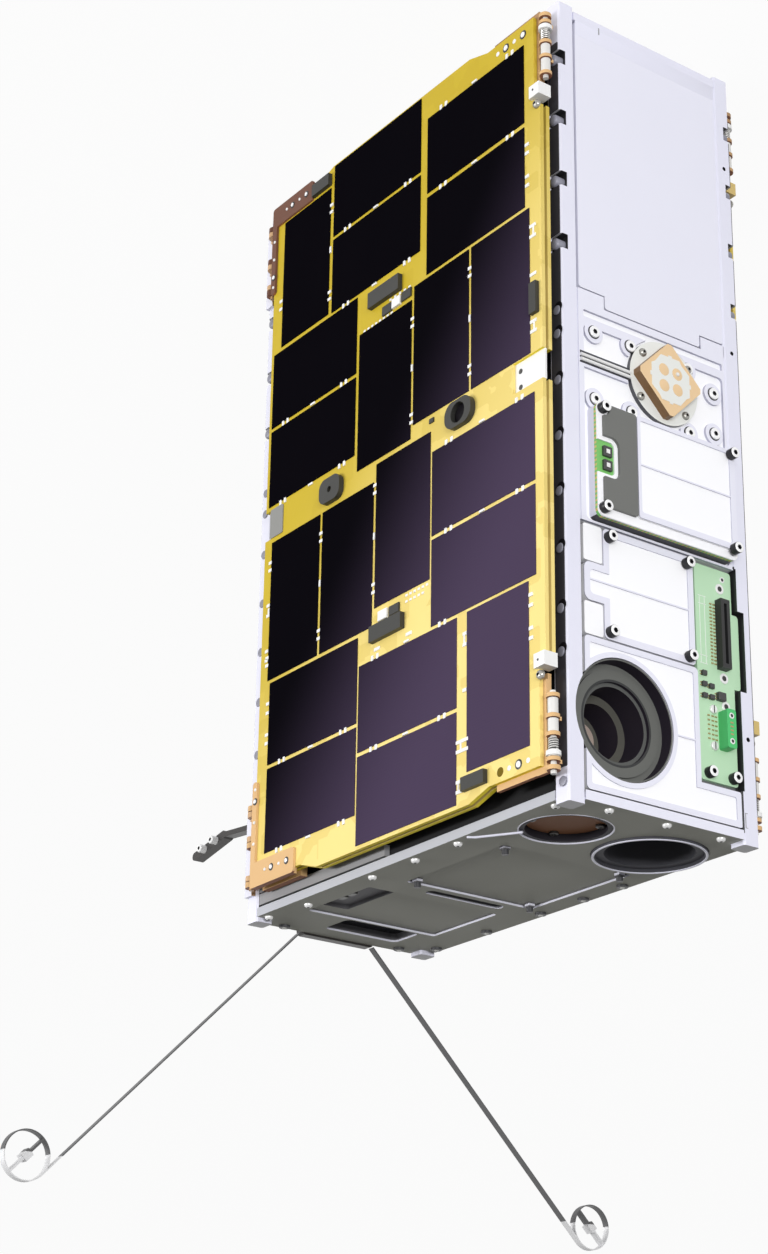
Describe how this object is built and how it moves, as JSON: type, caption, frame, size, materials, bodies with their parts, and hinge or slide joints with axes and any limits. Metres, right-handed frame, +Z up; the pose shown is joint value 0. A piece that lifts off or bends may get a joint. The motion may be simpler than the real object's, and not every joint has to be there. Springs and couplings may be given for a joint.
{
  "type": "six-unit cube satellite",
  "caption": "Box satellite with corner rails, folded solar wings on both wide sides, a telescope and instruments on one narrow side and a V of tape antennas at one end.",
  "frame": {"origin": "centre of the four rail ends of the closed end, on which it stands", "axes": "+Z up along the rails to the aperture end and the antennas, -X out of the instrument face, -Y out of the front wing"},
  "size_m": [0.2983, 0.3248, 0.4916],
  "materials": {
    "pale_aluminium": "bead blasted, pale",
    "white_cover": "white, satin",
    "dark_end_plate": "blasted, olive grey",
    "inner_wall": "dark anodised",
    "black_glass": "black, glossy",
    "grey_plate": "grey anodised",
    "mirror": "pale copper mirror",
    "dark_metal": "black anodised",
    "copper": "brown copper",
    "patch_ceramic": "tan ceramic",
    "patch_ground": "pale grey",
    "green_board": "green solder mask",
    "connector_plastic": "dark moulded",
    "antenna_steel": "blued spring steel",
    "gold_board": "gold coated board",
    "solar_cell": "cell cover, dark violet",
    "tan_bracket": "tan conversion coated",
    "pale_fitting": "white",
    "hinge_steel": "bright steel"
  },
  "bodies": {
    "bus": {"rail_front_instrument": "pale_aluminium", "rail_front_antenna": "pale_aluminium", "rail_back_instrument": "pale_aluminium", "rail_back_antenna": "pale_aluminium", "wall_front": "inner_wall", "wall_back": "inner_wall", "antenna_front": "antenna_steel", "antenna_back": "antenna_steel", "antenna_arm_front": "dark_metal", "antenna_arm_back": "dark_metal", "aperture_end_plate": "dark_end_plate", "aperture_window": "black_glass", "closed_end_plate": "pale_aluminium", "antenna_side_wall": "inner_wall", "instrument_wall": "inner_wall", "upper_cover": "white_cover", "middle_plate": "white_cover", "patch_disc": "patch_ground", "patch_antenna": "patch_ceramic", "module_housing": "pale_aluminium", "module_board": "green_board", "module_cover": "white_cover", "module_plate": "grey_plate", "box_cover": "white_cover", "box_side_plates": "white_cover", "telescope_plate": "white_cover", "telescope_hood": "grey_plate", "telescope_mirror": "mirror", "access_board": "green_board", "access_connectors": "connector_plastic", "small_aperture_ring": "dark_metal", "small_aperture_disc": "copper", "large_aperture_ring": "grey_plate", "large_aperture_lens": "black_glass", "avionics_block": "dark_metal", "antenna_base": "dark_metal", "front_root_bases": "tan_bracket", "back_root_bases": "tan_bracket"},
    "front_inner_wing": {"front_inner_panel": "gold_board", "front_inner_cells": "solar_cell", "front_inner_brackets": "tan_bracket"},
    "front_outer_wing": {"front_outer_panel": "gold_board", "front_outer_cells": "solar_cell", "front_outer_blocks": "connector_plastic", "front_outer_brackets": "tan_bracket", "front_hold_plates": "pale_fitting", "front_fold_pins": "hinge_steel"},
    "back_inner_wing": {"back_inner_panel": "gold_board", "back_inner_cells": "solar_cell", "back_inner_brackets": "tan_bracket"},
    "back_outer_wing": {"back_outer_panel": "gold_board", "back_outer_cells": "solar_cell", "back_outer_blocks": "connector_plastic", "back_outer_brackets": "tan_bracket", "back_hold_plates": "pale_fitting", "back_fold_pins": "hinge_steel"}
  },
  "joints": [
    {"name": "front_wing_root", "type": "hinge", "parent": "bus", "child": "front_inner_wing", "pos_m": [0.1035, -0.054, 0.183], "axis": [0, 0, 1], "range_deg": [0, 90]},
    {"name": "front_wing_fold", "type": "hinge", "parent": "front_inner_wing", "child": "front_outer_wing", "pos_m": [-0.112, -0.0565, 0.183], "axis": [0, 0, -1], "range_deg": [0, 180]},
    {"name": "back_wing_root", "type": "hinge", "parent": "bus", "child": "back_inner_wing", "pos_m": [0.1035, 0.054, 0.183], "axis": [0, 0, -1], "range_deg": [0, 90]},
    {"name": "back_wing_fold", "type": "hinge", "parent": "back_inner_wing", "child": "back_outer_wing", "pos_m": [-0.1045, 0.0565, 0.183], "axis": [0, 0, 1], "range_deg": [0, 180]}
  ]
}
